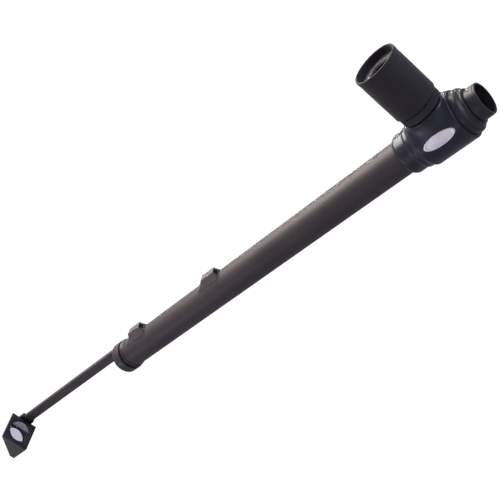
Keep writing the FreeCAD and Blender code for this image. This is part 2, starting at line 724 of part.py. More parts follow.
def field_stop():
    stop = turned_up("field_stop_body", [
        ("stop_r", "stop_z"), ("draw_bore_r - slip", "stop_z"), ("draw_bore_r - slip", "stop_z + 4"),
        ("draw_bore_r - 1.5", "stop_z + 4"), ("draw_bore_r - 1.5", "stop_z + 1"), ("stop_r", "stop_z + 1"),
    ])
    node(stop, "field_stop")


def lens_spacer():
    spacer = turned_up("spacer_body", [
        ("barrel_bore_r - 2.2", "spacer_low"), ("barrel_bore_r - slip", "spacer_low"),
        ("barrel_bore_r - slip", "spacer_high"), ("barrel_bore_r - 2.2", "spacer_high"),
    ])
    node(spacer, "lens_spacer")


def eye_lens_cell():
    seat = "eye_lens_z - eye_lens_t / 2 + cell_lip"
    cell = turned_up("eye_cell_body", [
        ("eye_lens_r - cell_lip", "spacer_high"), ("barrel_bore_r - slip", "spacer_high"),
        ("barrel_bore_r - slip", "cell_high"), ("eye_lens_r + slip", "cell_high"),
        ("eye_lens_r + slip", seat), ("eye_lens_r - cell_lip", seat),
    ])
    node(cell, "eye_lens_cell")


def bulged_lens(name, radius, thickness, curve, at, rotation=Rotation()):
    """A lens with both faces convex, centred on the point at."""
    rim = cylinder(name + "_rim", radius, thickness, ("0", "0", f"-({thickness}) / 2"))
    faces = [
        ball(f"{name}_face_{side}", curve, ("0", "0", f"{sign}({curve} - ({thickness}) / 2)"))
        for side, sign in (("top", "-"), ("low", ""))
    ]
    node(place(shared(name + "_form", [rim, *faces]), at, rotation), name)


def eyepiece_lenses():
    bulged_lens("field_lens", "barrel_bore_r - slip", "field_lens_t", "field_curve",
                ("eyepiece_x", "0", "field_lens_z"))
    bulged_lens("eye_lens", "eye_lens_r", "eye_lens_t", "eye_curve", ("eyepiece_x", "0", "eye_lens_z"))


# ---- objective ----


def objective_cell():
    cell = turned("objective_cell_body", [
        ("cell_rear", "lens_stop_r"), ("lens_seat", "lens_stop_r"), ("lens_seat", "lens_bore_r"),
        ("spigot_front", "lens_bore_r"), ("spigot_front", "spigot_r"),
        ("clip_x - clip_t / 2 - slip", "spigot_r"), ("clip_x - clip_t / 2 - slip", "spigot_r - groove_d"),
        ("clip_x + clip_t / 2 + slip", "spigot_r - groove_d"), ("clip_x + clip_t / 2 + slip", "spigot_r"),
        ("cell_rim_front", "spigot_r"), ("cell_rim_front", "cell_rim_r"), ("tube_front - 2", "cell_rim_r"),
        ("tube_front", "tube_r"), ("tube_front", "tube_r - tube_wall - slip"),
        ("cell_rear", "tube_r - tube_wall - slip"),
    ])
    node(cell, "objective_cell")


def objective_lenses():
    bulged_lens("objective_crown", "lens_bore_r - slip", "crown_t", "lens_curve",
                ("crown_x", "0", "0"), AXIS_X)
    front = "flint_x - flint_t / 2"
    disc = cylinder("flint_disc", "lens_bore_r - slip", "flint_t", (front, "0", "0"), AXIS_X)
    hollow = ball("flint_hollow", "lens_curve", (f"{front} - lens_curve + flint_sag", "0", "0"))
    node(cut("flint_cut", disc, [hollow]), "objective_flint")


def objective_spacer():
    spacer = turned("objective_spacer_body", [
        ("flint_x - flint_t / 2 - slip", "lens_stop_r"),
        ("flint_x - flint_t / 2 - slip", "lens_bore_r - slip"),
        ("crown_x + flint_sag", "lens_bore_r - slip"), ("crown_x + flint_sag", "lens_stop_r + 0.7"),
    ])
    node(spacer, "objective_spacer")


def objective_retainer():
    rear = "crown_x - crown_t / 2"
    ring = turned("objective_retainer_body", [
        (rear, "lens_stop_r"), (rear, "lens_bore_r - slip"), (f"{rear} - retainer_t", "lens_bore_r - slip"),
        (f"{rear} - retainer_t", "lens_stop_r"),
    ])
    node(ring, "objective_retainer")


# ---- end ring and arm ----


def end_ring():
    """The ring that turns on the objective cell, with a flat seat for the arm."""
    ring = turned("end_ring_stock", [
        ("end_rear", "spigot_r + slip"), ("end_front + counterbore", "spigot_r + slip"),
        ("end_front + counterbore", "counterbore_r"), ("end_front", "counterbore_r"),
        ("end_front", "end_r"), ("end_rear - 0.6", "end_r"), ("end_rear", "end_r - 0.6"),
    ])
    seat = block("arm_seat", ("end_rear - end_front - 0.6", "arm_y - seat_low", "arm_w"),
                 ("end_front + 0.3", "seat_low", "arm_z - arm_w / 2"))
    bore = cylinder("seat_bore", "counterbore_r", "20", ("end_rear - 16", "0", "0"), AXIS_X)
    holes = [arm_screw_hole(i, "13") for i in range(2)]
    seated = cut("arm_seat_cut", seat, [bore])
    node(cut("end_ring_cut", fused("end_ring_fused", [ring, seated]), holes), "end_ring")


def arm_screw_station(i):
    return f"end_rear - arm_screw_first - {i} * arm_screw_pitch"


def arm_screw_hole(i, length):
    name = doc.getUniqueObjectName("arm_screw_hole")
    at = (arm_screw_station(i), f"arm_y + arm_t + 1 - {length}", "arm_z")
    return cylinder(name, "screw_r + slip", length, at, AXIS_Y)


def end_cap():
    """The bevelled cap that closes the end ring over the retaining clip."""
    cap = turned("end_cap_body", [
        ("end_front - slip", "cap_hole_r"), ("end_front - slip", "end_r"), ("end_front - 1.2", "end_r"),
        ("cap_front + 1", "cap_r"), ("cap_front", "cap_r - 1"), ("cap_front", "cap_hole_r + 1"),
        ("cap_front + 1", "cap_hole_r"),
    ])
    node(cap, "end_cap")


def retaining_clip():
    clip = turned("clip_body", [
        ("clip_x - clip_t / 2", "spigot_r - groove_d + slip"),
        ("clip_x + clip_t / 2", "spigot_r - groove_d + slip"),
        ("clip_x + clip_t / 2", "clip_r"), ("clip_x - clip_t / 2", "clip_r"),
    ])
    node(clip, "retaining_clip")


def prism_arm():
    outer = "arm_y + arm_t"
    bar = cut_plate("arm_stock", "XY_Plane", [
        ("arm_rear", "arm_y"), ("arm_rear", outer), ("tongue_end", outer),
        ("tongue_end", f"{outer} - tongue_t"), ("tongue_x", f"{outer} - tongue_t"), ("tongue_x", "arm_y"),
    ], "arm_w", ("0", "0", "arm_z"))
    holes = [arm_screw_hole(i, "10") for i in range(2)] + [bracket_hole(i) for i in range(2)]
    node(cut("arm_cut", bar, holes), "prism_arm")


def arm_screws():
    screws = [
        screw(f"arm_screw_{i}", "arm_t + 1.5", (arm_screw_station(i), "arm_y + arm_t", "arm_z"),
              Rotation(Vector(0, 0, 1), Vector(0, -1, 0)))
        for i in range(2)
    ]
    node(grouped("arm_screw_set", screws), "arm_screws")


def bracket_station(i):
    return f"plate_x - bracket_screw_first - {i} * bracket_screw_pitch"


def bracket_hole(i):
    name = doc.getUniqueObjectName("bracket_hole")
    at = (bracket_station(i), "arm_y + arm_t - 9", "arm_z")
    return cylinder(name, "screw_r + slip", "10", at, AXIS_Y)


def arm_bracket():
    """The block between the arm's tongue and the prism housing."""
    rear = "tongue_x - slip"
    stock = block("bracket_stock", (f"{rear} - bracket_end", "arm_t", "bracket_w"),
                  ("bracket_end", "arm_y", "arm_z - bracket_w / 2"))
    corner = ("tongue_end - slip", "arm_y + arm_t - tongue_t - slip", "arm_z - arm_w / 2 - slip")
    size = (f"{rear} - tongue_end + 1", "tongue_t + 1", "arm_w + 2 * slip")
    recess = block("bracket_recess", size, corner)
    node(cut("bracket_cut", stock, [recess, *[bracket_hole(i) for i in range(2)]]), "arm_bracket")


def bracket_screws():
    screws = [
        screw(f"bracket_screw_{i}", "arm_t + 1.4", (bracket_station(i), "arm_y + arm_t", "arm_z"),
              Rotation(Vector(0, 0, 1), Vector(0, -1, 0)))
        for i in range(2)
    ]
    node(grouped("bracket_screw_set", screws), "bracket_screws")


# ---- prism housing ----
# Its pieces are drawn as depth behind the front plate and height above the floor.


def housing_plate(name, points, thickness, y="0"):
    """A piece drawn on the housing's section and centred on one station across it."""
    return cut_plate(name, "XZ_Plane", points, thickness, ("plate_x", y, "-floor_b"), FACING_FRONT)


def front_plate():
    half = "plate_w / 2"
    plate = cut_plate("front_plate_body", "YZ_Plane", [
        (f"-{half}", f"-{half}"), (half, f"-{half}"), (half, half), (f"-{half}", half),
    ], "sheet", ("plate_x + sheet / 2", "0", "plate_z"), holes=[("0", "0", "window_r")])
    node(plate, "front_plate")


def bottom_plate():
    half = "wall_y - sheet - slip"
    depth = "back_a - sheet - slip"
    plate = cut_plate("bottom_plate_body", "XY_Plane", [
        ("0", f"-({half})"), (depth, f"-({half})"), (depth, half), ("0", half),
    ], "sheet", ("plate_x", "0", "-floor_b - sheet / 2"), FACING_FRONT,
        holes=[("prism_play + prism_leg / 2", "0", "window_r")])
    node(plate, "bottom_plate")


def side_plates():
    """The two side plates; the far one is drilled for the bracket's screws."""
    outline = [
        ("0", "-sheet"), ("back_a", "-sheet"), ("back_a", "heel_b"), ("crown_a", "crown_b"),
        ("0", "crown_b"),
    ]
    node(housing_plate("near_side_body", outline, "sheet", "-wall_y + sheet / 2"), "near_side_plate")
    far = housing_plate("far_side_stock", outline, "sheet", "wall_y - sheet / 2")
    holes = [
        cylinder(f"far_side_hole_{i}", "screw_r + slip", "6",
                 (bracket_station(i), "wall_y - 3", "arm_z"), AXIS_Y)
        for i in range(2)
    ]
    node(cut("far_side_cut", far, holes), "far_side_plate")


def right_angle_prism():
    edge = "prism_play"
    far = "prism_play + prism_leg"
    prism = housing_plate("prism_body", [(edge, edge), (far, edge), (edge, far)], "prism_w")
    node(prism, "right_angle_prism")


def prism_cover():
    """The folded cover over the prism's long face, with a heel at the back."""
    inside = "sheet * 1.4142"
    cover = housing_plate("prism_cover_body", [
        ("back_a", "-sheet"), ("back_a", "heel_b"), ("crown_a", "crown_b"),
        ("crown_a", f"crown_b - {inside}"), ("back_a - sheet", f"heel_b + sheet - {inside}"),
        ("back_a - sheet", "-sheet"),
    ], "2 * (wall_y - sheet - slip)")
    node(cover, "prism_cover")


def prism_pad():
    """The soft pad that presses the prism down on its plates."""
    near = "2 * prism_play + prism_leg + 0.2 - pad_margin"
    rise = "pad_t / 1.4142"
    pad = housing_plate("prism_pad_body", [
        ("pad_margin", near), (near, "pad_margin"),
        (f"{near} + {rise}", f"pad_margin + {rise}"), (f"pad_margin + {rise}", f"{near} + {rise}"),
    ], "pad_w")
    node(pad, "prism_pad")


SUB_PARTS = [
    main_tube, tube_baffles, sight_screws, head_body, rear_cover, port_sleeve, badge,
    flip_mirror, mirror_carrier, mirror_shaft, shaft_bushes, flip_knob, friction_washer,
    focuser_guide, focus_ring, keeper_ring, draw_tube, key_screw,
    eyepiece_barrel, eyecup, eye_bezel, field_stop, lens_spacer, eye_lens_cell, eyepiece_lenses,
    objective_cell, objective_lenses, objective_spacer, objective_retainer,
    end_ring, end_cap, retaining_clip, prism_arm, arm_screws, arm_bracket, bracket_screws,
    front_plate, bottom_plate, side_plates, right_angle_prism, prism_cover, prism_pad,
]


def check_document():
    """Stops if any object failed or any sub-part isn't a sound shape."""
    failed = [o.Label for o in doc.Objects if {"Invalid", "Error"} & set(o.State)]
    unsound = [o.Label for o in parts if o.Shape.isNull() or not o.Shape.isValid() or not o.Shape.Solids]
    if failed or unsound:
        raise RuntimeError(f"failed objects {failed}, unsound sub-parts {unsound}")


def main():
    fill_sheet()
    for build in SUB_PARTS:
        build()
    sight("front_sight", "front_sight_x", "front_sight_top")
    sight("rear_sight", "rear_sight_x", "rear_sight_top")
    doc.recompute()
    check_document()
    os.makedirs("parts", exist_ok=True)
    for part in parts:
        part.Shape.exportStep(f"parts/{part.Label}.step")
        print(f"{part.Label:20s} {len(part.Shape.Solids)} solids {part.Shape.Volume / 1000:9.3f} cm3")
    print(len(parts), "sub-parts")


main()
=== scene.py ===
"""Looks of the right-angle viewing telescope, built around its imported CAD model.

Pieces are drawn in millimetres and turned into metres as each mesh is made. The camera, the lights
and the stage are placed in metres. The tube lies along X and the eyepiece points along +Z.
"""
import json
import math

import bmesh
import bpy
from mathutils import Matrix, Vector


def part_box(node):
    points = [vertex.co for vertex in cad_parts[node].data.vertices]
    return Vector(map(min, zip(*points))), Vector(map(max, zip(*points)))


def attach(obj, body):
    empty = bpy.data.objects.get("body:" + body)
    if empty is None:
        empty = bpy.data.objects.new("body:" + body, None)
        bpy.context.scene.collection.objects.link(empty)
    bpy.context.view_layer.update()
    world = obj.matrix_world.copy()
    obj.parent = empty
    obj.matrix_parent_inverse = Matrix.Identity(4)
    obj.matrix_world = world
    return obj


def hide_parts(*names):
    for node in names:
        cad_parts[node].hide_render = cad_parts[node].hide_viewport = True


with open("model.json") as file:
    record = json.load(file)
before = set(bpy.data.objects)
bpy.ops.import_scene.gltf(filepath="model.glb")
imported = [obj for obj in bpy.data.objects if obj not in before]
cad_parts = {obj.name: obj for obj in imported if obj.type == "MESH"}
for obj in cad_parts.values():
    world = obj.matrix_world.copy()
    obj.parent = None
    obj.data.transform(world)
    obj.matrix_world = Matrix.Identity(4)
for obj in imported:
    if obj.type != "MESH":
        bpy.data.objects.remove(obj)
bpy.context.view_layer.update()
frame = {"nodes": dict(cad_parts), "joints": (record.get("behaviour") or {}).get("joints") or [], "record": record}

MM = 0.001


# ---- places read from the frame ----


def bounds_mm(node):
    """A CAD node's lowest and highest corners, in millimetres."""
    low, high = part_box(node)
    return low / MM, high / MM


def joint_place(name):
    return next(joint["pos_m"] for joint in frame["joints"] if joint["name"] == name)


def slot_of(node):
    return next(s["material_slot"] for s in frame["record"]["subparts"] if s["node"] == node)


def body_holding(node):
    bodies = frame["record"]["behaviour"]["bodies"]
    return next(body for body, nodes in bodies.items() if node in nodes)


EYE_X, EYE_Y, _ = joint_place("focus_turn")
HINGE_X, _, HINGE_Z = joint_place("mirror_swing")
PORT = next(mount["dims"] for mount in frame["record"]["mounts"] if mount["name"] == "rear_port")


# ---- materials ----

NOISE_LOW, NOISE_HIGH = 0.3, 0.7          # a noise node's output is nearly always between these
SHARPEST, FLATTEST = 0.80, 0.985          # cosines of the turn of the normal at an edge and beside it


class Paint:
    """A principled material with short calls for the nodes that shape it."""

    def __init__(self, name, **constants):
        self.material = bpy.data.materials.new(name)
        self.material.use_nodes = True
        self.tree = self.material.node_tree
        self.shader = self.tree.nodes["Principled BSDF"]
        for socket, value in constants.items():
            self.shader.inputs[socket.replace("_", " ")].default_value = value
        self.place = self.node("ShaderNodeTexCoord").outputs["Object"]

    def node(self, kind, **settings):
        made = self.tree.nodes.new(kind)
        for name, value in settings.items():
            setattr(made, name, value)
        return made

    def feed(self, socket, value):
        """Links an output into a socket, or sets the socket to a plain value."""
        if isinstance(value, bpy.types.NodeSocket):
            self.tree.links.new(value, socket)
        else:
            socket.default_value = value

    def math(self, operation, *values):
        made = self.node("ShaderNodeMath", operation=operation)
        for socket, value in zip(made.inputs, values):
            self.feed(socket, value)
        return made.outputs[0]

    def noise(self, size, detail=3.0, rough=0.5, at=None):
        """Noise whose features are about size millimetres across."""
        made = self.node("ShaderNodeTexNoise")
        self.feed(made.inputs["Vector"], at or self.place)
        self.feed(made.inputs["Scale"], 1 / (size * MM))
        self.feed(made.inputs["Detail"], detail)
        self.feed(made.inputs["Roughness"], rough)
        return made.outputs["Fac"]

    def mix(self, share, first, second):
        """A colour that goes from first to second as share goes from 0 to 1."""
        made = self.node("ShaderNodeMix", data_type="RGBA", clamp_factor=True)
        self.feed(made.inputs["Factor"], share)
        sockets = [s for s in made.inputs if s.type == "RGBA"]
        for socket, colour in zip(sockets, (first, second)):
            self.feed(socket, (*colour, 1.0) if isinstance(colour, tuple) else colour)
        return next(s for s in made.outputs if s.type == "RGBA")

    def between(self, value, low, high, start=NOISE_LOW, end=NOISE_HIGH):
        """Maps value from start..end to a number or colour from low to high."""
        if isinstance(low, tuple):
            return self.mix(self.between(value, 0.0, 1.0, start, end), low, high)
        made = self.node("ShaderNodeMapRange")
        for socket, number in zip(made.inputs, (value, start, end, low, high)):
            self.feed(socket, number)
        return made.outputs["Result"]

    def colour(self, value):
        self.feed(self.shader.inputs["Base Color"], value)

    def glow(self, value):
        self.feed(self.shader.inputs["Emission Color"], value)

    def roughness(self, value):
        self.feed(self.shader.inputs["Roughness"], value)

    def drift(self, value, low, high):
        """Roughness from low to high over the usual range of a noise, with no stop at its ends."""
        slope = (high - low) / (NOISE_HIGH - NOISE_LOW)
        self.roughness(self.math("MULTIPLY_ADD", value, slope, low - NOISE_LOW * slope))

    def bump(self, heights):
        """Stacks bumps, each a pair of height value and depth in millimetres."""
        normal = None
        for height, depth in heights:
            made = self.node("ShaderNodeBump")
            self.feed(made.inputs["Strength"], 1.0)
            self.feed(made.inputs["Distance"], depth * MM)
            self.feed(made.inputs["Height"], height)
            if normal:
                self.feed(made.inputs["Normal"], normal)
            normal = made.outputs["Normal"]
        self.feed(self.shader.inputs["Normal"], normal)

    def edges(self, reach):
        """1 on an edge within reach millimetres and 0 on open surface."""
        bevel = self.node("ShaderNodeBevel", samples=4)
        self.feed(bevel.inputs["Radius"], reach * MM)
        dot = self.node("ShaderNodeVectorMath", operation="DOT_PRODUCT")
        self.feed(dot.inputs[0], bevel.outputs["Normal"])
        self.feed(dot.inputs[1], self.node("ShaderNodeNewGeometry").outputs["Normal"])
        return self.between(dot.outputs["Value"], 1.0, 0.0, SHARPEST, FLATTEST)

    def turned(self, axis, centre):
        """A vector that is constant round an axis, so that noise on it makes turning marks."""
        parts = self.node("ShaderNodeSeparateXYZ")
        self.feed(parts.inputs[0], self.place)
        others = "XYZ".replace(axis, "")
        across = [self.math("SUBTRACT", parts.outputs[a], c) for a, c in zip(others, centre)]
        squares = [self.math("MULTIPLY", a, a) for a in across]
        joined = self.node("ShaderNodeCombineXYZ")
        self.feed(joined.inputs[0], parts.outputs[axis])
        self.feed(joined.inputs[1], self.math("SQRT", self.math("ADD", *squares)))
        return joined.outputs[0]


def enamel(name, dark, light, rough, worn, peel=0.012, specular=0.35, wear=0.3):
    """Sprayed enamel: faint clouding, orange peel, and paler paint where edges have rubbed."""
    p = Paint(name, Specular_IOR_Level=specular)
    cloud = p.between(p.noise(38, 4), dark, light)
    rub = p.math("MULTIPLY", p.edges(0.35), p.between(p.noise(3.5, 5), 0.0, wear, 0.42, 0.62))
    p.colour(p.mix(rub, cloud, worn))
    p.drift(p.noise(9, 4), rough - 0.01, rough + 0.04)
    p.bump([(p.noise(1.1, 2), peel), (p.noise(0.28, 2), peel * 0.35)])
    return p.material


def turned_metal(name, dark, light, rough, axis, centre=(0.0, 0.0), metal=0.0, marks=0.006):
    """A lathe-turned surface with fine rings round its axis."""
    p = Paint(name, Metallic=metal, Specular_IOR_Level=0.4)
    rings = p.turned(axis, centre)
    fine, broad = p.noise(0.22, 2, at=rings), p.noise(2.2, 3, at=rings)
    mean = p.math("MULTIPLY_ADD", fine, 0.5, p.math("MULTIPLY", broad, 0.5))
    p.colour(p.between(mean, dark, light))
    p.drift(p.noise(5, 3), rough - 0.04, rough + 0.08)
    p.bump([(fine, marks)])
    return p.material


def rubber(name):
    """Moulded black rubber: fine stipple, a slight bloom and handling marks."""
    p = Paint(name, Specular_IOR_Level=0.3, Sheen_Weight=0.12, Sheen_Roughness=0.5)
    spots = p.math("MULTIPLY", p.noise(2.4, 4), 0.3)
    bloom = p.math("MULTIPLY_ADD", p.noise(24, 5, 0.6), 0.7, spots)
    p.colour(p.between(bloom, (0.013, 0.010, 0.014), (0.022, 0.018, 0.024)))
    p.drift(p.noise(6, 4), 0.56, 0.70)
    p.bump([(p.noise(0.45, 2), 0.03), (p.noise(14, 3), 0.05)])
    return p.material


def matt(name, dark, light, rough=0.85, grain=0.6, depth=0.03):
    """A dull surface with a fine grain, such as an optical black or foam."""
    p = Paint(name, Specular_IOR_Level=0.1)
    p.colour(p.between(p.noise(grain * 3, 4), dark, light))
    p.drift(p.noise(grain * 6, 2), rough - 0.06, rough + 0.06)
    p.bump([(p.noise(grain, 2), depth)])
    return p.material


def brushed(name, dark, light, rough):
    """Bright metal with fine scratches along X."""
    p = Paint(name, Metallic=1.0)
    stretch = p.node("ShaderNodeMapping")
    p.feed(stretch.inputs["Vector"], p.place)
    p.feed(stretch.inputs["Scale"], (0.06, 1.0, 1.0))
    hair = p.noise(0.12, 3, at=stretch.outputs["Vector"])
    p.colour(p.between(hair, dark, light))
    p.drift(p.noise(4, 3), rough - 0.05, rough + 0.08)
    p.bump([(hair, 0.004)])
    return p.material


def optical_glass(name, tint, clear, smudge=0.03):
    """Polished glass, hazed by handling where smudge is above 0."""
    p = Paint(name, Transmission_Weight=1.0, IOR=1.52)
    p.colour(p.between(p.noise(16, 3), tint, clear))
    p.roughness(p.between(p.noise(7, 4, 0.6), 0.0, smudge, 0.5, 0.8))
    return p.material


def ground_glass_and_glow(name):
    """The fine-ground side of a prism, with a faint painted glow that stands in for the light that scatters inside
    it.
    """
    p = Paint(name, Specular_IOR_Level=0.2, Emission_Strength=0.17)
    frost_and_glow = p.between(p.noise(9, 3), (0.62, 0.61, 0.74), (0.70, 0.69, 0.83))
    p.colour(frost_and_glow)
    # painted glow: the ground sides give off light of their own, in the frost's colour
    p.glow(frost_and_glow)
    p.drift(p.noise(6, 3), 0.75, 0.9)
    return p.material


def silvering(name):
    """A front-surface mirror with a breath of haze."""
    p = Paint(name, Metallic=1.0)
    p.colour(p.between(p.noise(12, 3), (0.86, 0.87, 0.89), (0.93, 0.93, 0.94)))
    p.roughness(p.between(p.noise(5, 3), 0.01, 0.05, 0.5, 0.8))
    return p.material


# An enamel or metal takes its darkest and palest colour, its roughness, and then its worn colour or
# its axis. The head's stays rougher than about 0.29, because smoother spots showed as dark patches.
LOOKS = {
    "tube_paint": enamel(
        "tube_enamel", (0.044, 0.036, 0.038), (0.056, 0.047, 0.049), 0.46, (0.10, 0.09, 0.09),
        specular=0.22),
    "head_enamel": enamel(
        "head_enamel", (0.012, 0.013, 0.021), (0.018, 0.019, 0.030), 0.31, (0.05, 0.05, 0.06),
        peel=0.02, specular=0.4, wear=0.0),
    "arm_paint": enamel(
        "arm_enamel", (0.036, 0.029, 0.030), (0.047, 0.039, 0.040), 0.50, (0.10, 0.09, 0.09)),
    "housing_paint": enamel(
        "housing_enamel", (0.062, 0.062, 0.063), (0.076, 0.076, 0.077), 0.50, (0.08, 0.08, 0.08),
        specular=0.2),
    "black_anodised": turned_metal(
        "anodised_x", (0.014, 0.013, 0.017), (0.022, 0.021, 0.026), 0.40, "X"),
    "bronze": turned_metal(
        "bearing_bronze", (0.38, 0.24, 0.10), (0.52, 0.35, 0.16), 0.34, "Y", (HINGE_X, HINGE_Z),
        metal=1.0),
    "matt_black": matt("optical_black", (0.006, 0.006, 0.006), (0.012, 0.012, 0.012)),
    "pad_foam": matt(
        "pad_foam", (0.010, 0.010, 0.010), (0.022, 0.022, 0.022), rough=0.95, grain=0.9, depth=0.2),
    "rubber_black": rubber("cup_rubber"),
    "optical_glass": optical_glass("optical_glass", (0.93, 0.95, 0.98), (0.98, 0.99, 1.0)),
    "silvered": silvering("mirror_silver"),
    "steel": brushed("bright_steel", (0.40, 0.40, 0.41), (0.56, 0.56, 0.57), 0.34),
    "black_steel": brushed("blackened_steel", (0.045, 0.045, 0.05), (0.08, 0.08, 0.085), 0.38),
    "badge_alloy": brushed("badge_alloy", (0.80, 0.80, 0.81), (0.92, 0.92, 0.93), 0.50),
}
ANODISED_Y = turned_metal(
    "anodised_y", (0.020, 0.018, 0.022), (0.032, 0.029, 0.034), 0.42, "Y", (HINGE_X, HINGE_Z))
ANODISED_Z = turned_metal(
    "anodised_z", (0.013, 0.012, 0.016), (0.021, 0.020, 0.025), 0.42, "Z", (EYE_X, EYE_Y),
    marks=0.001)
# The sights' paint is a copy of the tube's about twice as pale: a painted highlight for the light that their
# sloping sides catch.
SIGHT_PAINTED_HIGHLIGHT = enamel(
    "sight_enamel_painted_highlight", (0.088, 0.077, 0.079), (0.104, 0.092, 0.095), 0.46, (0.12, 0.11, 0.11))
CAP = enamel("cap_enamel", (0.038, 0.029, 0.032), (0.048, 0.038, 0.041), 0.46, (0.08, 0.07, 0.07))
FRONT = enamel(
    "front_enamel", (0.008, 0.008, 0.013), (0.013, 0.013, 0.020), 0.45, (0.05, 0.05, 0.06))
# The bracket's paint is a near-black copy of the arm's: painted shade for the shadow that the bracket sits in.
BRACKET_PAINTED_SHADE = enamel(
    "bracket_enamel_painted_shade", (0.007, 0.006, 0.008), (0.011, 0.010, 0.012), 0.50, (0.04, 0.04, 0.04))
GROUND_GLASS_AND_GLOW = ground_glass_and_glow("ground_glass_and_glow")
COATED = optical_glass("coated_glass", (0.49, 0.46, 0.58), (0.52, 0.49, 0.61), smudge=0.0)


# ---- making meshes ----

ON_AXIS = 0.01                        # radius that closes a turned piece on its axis, in millimetres
WELD = 1e-6                           # distance within which points are merged, in metres
FLAT = math.radians(0.5)              # faces that meet at less than this are one flat face
CRISP = math.radians(38)              # CAD edges sharper than this are rounded
ALL_SMOOTH = 180                      # degrees: no edge is left sharp


def copied(node):
    """An editable copy of a CAD node's mesh, with its doubled points merged."""
    bm = bmesh.new()
    bm.from_mesh(frame["nodes"][node].data)
    bmesh.ops.remove_doubles(bm, verts=bm.verts, dist=WELD)
    return bm


def flattened(node):
    """A copy of a CAD node whose flat faces are whole, with no triangles left in them."""
    bm = copied(node)
    bmesh.ops.dissolve_limit(bm, angle_limit=FLAT, verts=bm.verts, edges=bm.edges)
    return bm


def as_mesh(name, bm):
    mesh = bpy.data.meshes.new(name)
    bm.to_mesh(mesh)
    bm.free()
    return mesh


def add(name, data):
    """Puts a mesh, lamp or camera in the scene."""
    thing = bpy.data.objects.new(name, data)
    bpy.context.scene.collection.objects.link(thing)
    return thing


def finished(mesh, node, *materials, sharp=35):
    """Shows a mesh in place of a CAD node, on that node's body. Edges above sharp degrees stay crisp."""
    piece = add(mesh.name, mesh)
    for material in materials or (LOOKS[slot_of(node)],):
        mesh.materials.append(material)
    for polygon in mesh.polygons:
        polygon.use_smooth = True
    mesh.set_sharp_from_angle(angle=math.radians(sharp))
    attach(piece, body_holding(node))
    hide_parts(node)
    return piece


def rounded(corners, steps=5, longest=0.45):
    """The points of a closed outline whose corners are (across, up, radius).

    A rounding takes up at most the share longest of the sides it joins.
    """
    points = []
    for i, (a, b, radius) in enumerate(corners):
        here = Vector((a, b))
        sides = [Vector(corners[j][:2]) - here for j in (i - 1, (i + 1) % len(corners))]
        reach = min(radius, *(longest * side.length for side in sides))
        if not reach:
            points.append(here)
            continue
        start, end = (here + side.normalized() * reach for side in sides)
        for k in range(steps + 1):
            t = k / steps
            points.append((1 - t) ** 2 * start + 2 * t * (1 - t) * here + t * t * end)
    return points


def lathe(name, corners, axis, centre=(0.0, 0.0), turns=144, shape=None):
    """Spins an outline about an axis. Its corners are (station, radius, rounding).

    centre is where the axis stands across it. shape changes a radius by its station and angle.
    """
    outline = rounded(corners)
    bm = bmesh.new()
    rings = []
    for k in range(turns):
        angle = 2 * math.pi * k / turns
        ring = []
        for station, radius in outline:
            if shape:
                radius = shape(station, radius, angle)
            u, v = radius * math.cos(angle), radius * math.sin(angle)
            point = {
                "X": (station, centre[0] + u, centre[1] + v),
                "Y": (centre[0] + v, station, centre[1] + u),
                "Z": (centre[0] + u, centre[1] + v, station),
            }[axis]
            ring.append(bm.verts.new(Vector(point) * MM))
        rings.append(ring)
    for a, b in zip(rings, rings[1:] + rings[:1]):
        for i in range(len(outline)):
            j = (i + 1) % len(outline)
            bm.faces.new((a[i], a[j], b[j], b[i]))
    bmesh.ops.recalc_face_normals(bm, faces=bm.faces)
    return as_mesh(name, bm)


def ribbed(count, depth, low, high, fade=0.4):
    """Straight ribs round a band of a turned piece, fading out over fade millimetres at its ends."""
    def shape(station, radius, angle):
        ends = min(station - low, high - station)
        share = max(0.0, min(1.0, ends / fade))
        return radius - depth * share * (0.5 - 0.5 * math.cos(count * angle))
    return shape


def banded(corners, low, high, radius, count):
    """Puts count more points along a straight outer wall, so that ribs can follow it."""
    inside = [(low + (high - low) * i / (count - 1), radius, 0.0) for i in range(count)]
    return corners[:1] + inside + corners[1:]


def smooth(piece, passes):
    even = piece.modifiers.new("even", "SMOOTH")
    even.factor = 0.5
    even.iterations = passes


def even_mesh(node, name, size, passes):
    """One closed mesh of faces size millimetres wide over a CAD node, its edges smoothed."""
    bm = copied(node)
    bmesh.ops.recalc_face_normals(bm, faces=bm.faces)
    welded = as_mesh("welded", bm)
    rough = add("rough", welded)
    grid = rough.modifiers.new("grid", "REMESH")
    grid.mode = "VOXEL"
    grid.voxel_size = size * MM
    smooth(rough, passes)
    shown = rough.evaluated_get(bpy.context.evaluated_depsgraph_get())
    mesh = bpy.data.meshes.new_from_object(shown)
    bpy.data.objects.remove(rough)
    bpy.data.meshes.remove(welded)
    mesh.name = name
    mesh.materials.clear()
    return mesh


def ramp_up(value, start, end):
    """0 below start, 1 above end and smooth between."""
    t = min(1.0, max(0.0, (value - start) / (end - start)))
    return t * t * (3 - 2 * t)


# ---- eyepiece and focus ring ----


def rubber_eyecup():
    """The cup, with a groove round its foot and a swollen lip, down to its seat on the barrel."""
    low, high = bounds_mm("eyecup")
    lip, base, top = (high.x - low.x) / 2, low.z, high.z
    centre = ((low.x + high.x) / 2, 0.0)
    floor = bounds_mm("eye_bezel")[1].z + 0.05
    seat = bounds_mm("eyepiece_barrel")[1].x - centre[0] + 0.05
    wall = lip - 0.2
    groove = wall - 0.25
    mouth = lip - 2.2
    cup = lathe("rubber_eyecup", [
        (base, seat, 0.0), (base, wall - 0.5, 0.5), (base + 0.7, wall, 0.7),
        (base + 3.6, wall, 0.4), (base + 4.0, groove, 0.3), (base + 4.5, groove, 0.3),
        (base + 4.9, wall, 0.4), (top - 11.0, wall, 0.5), (top - 10.4, wall - 0.3, 0.4),
        (top - 6.5, wall - 0.1, 3.0), (top - 1.8, lip, 1.2), (top, lip - 0.5, 0.7),
        (top, lip - 1.8, 0.6), (top - 2.2, mouth, 1.0), (floor, mouth, 0.3), (floor, seat, 0.0),
    ], "Z", centre)
    finished(cup, "eyecup")


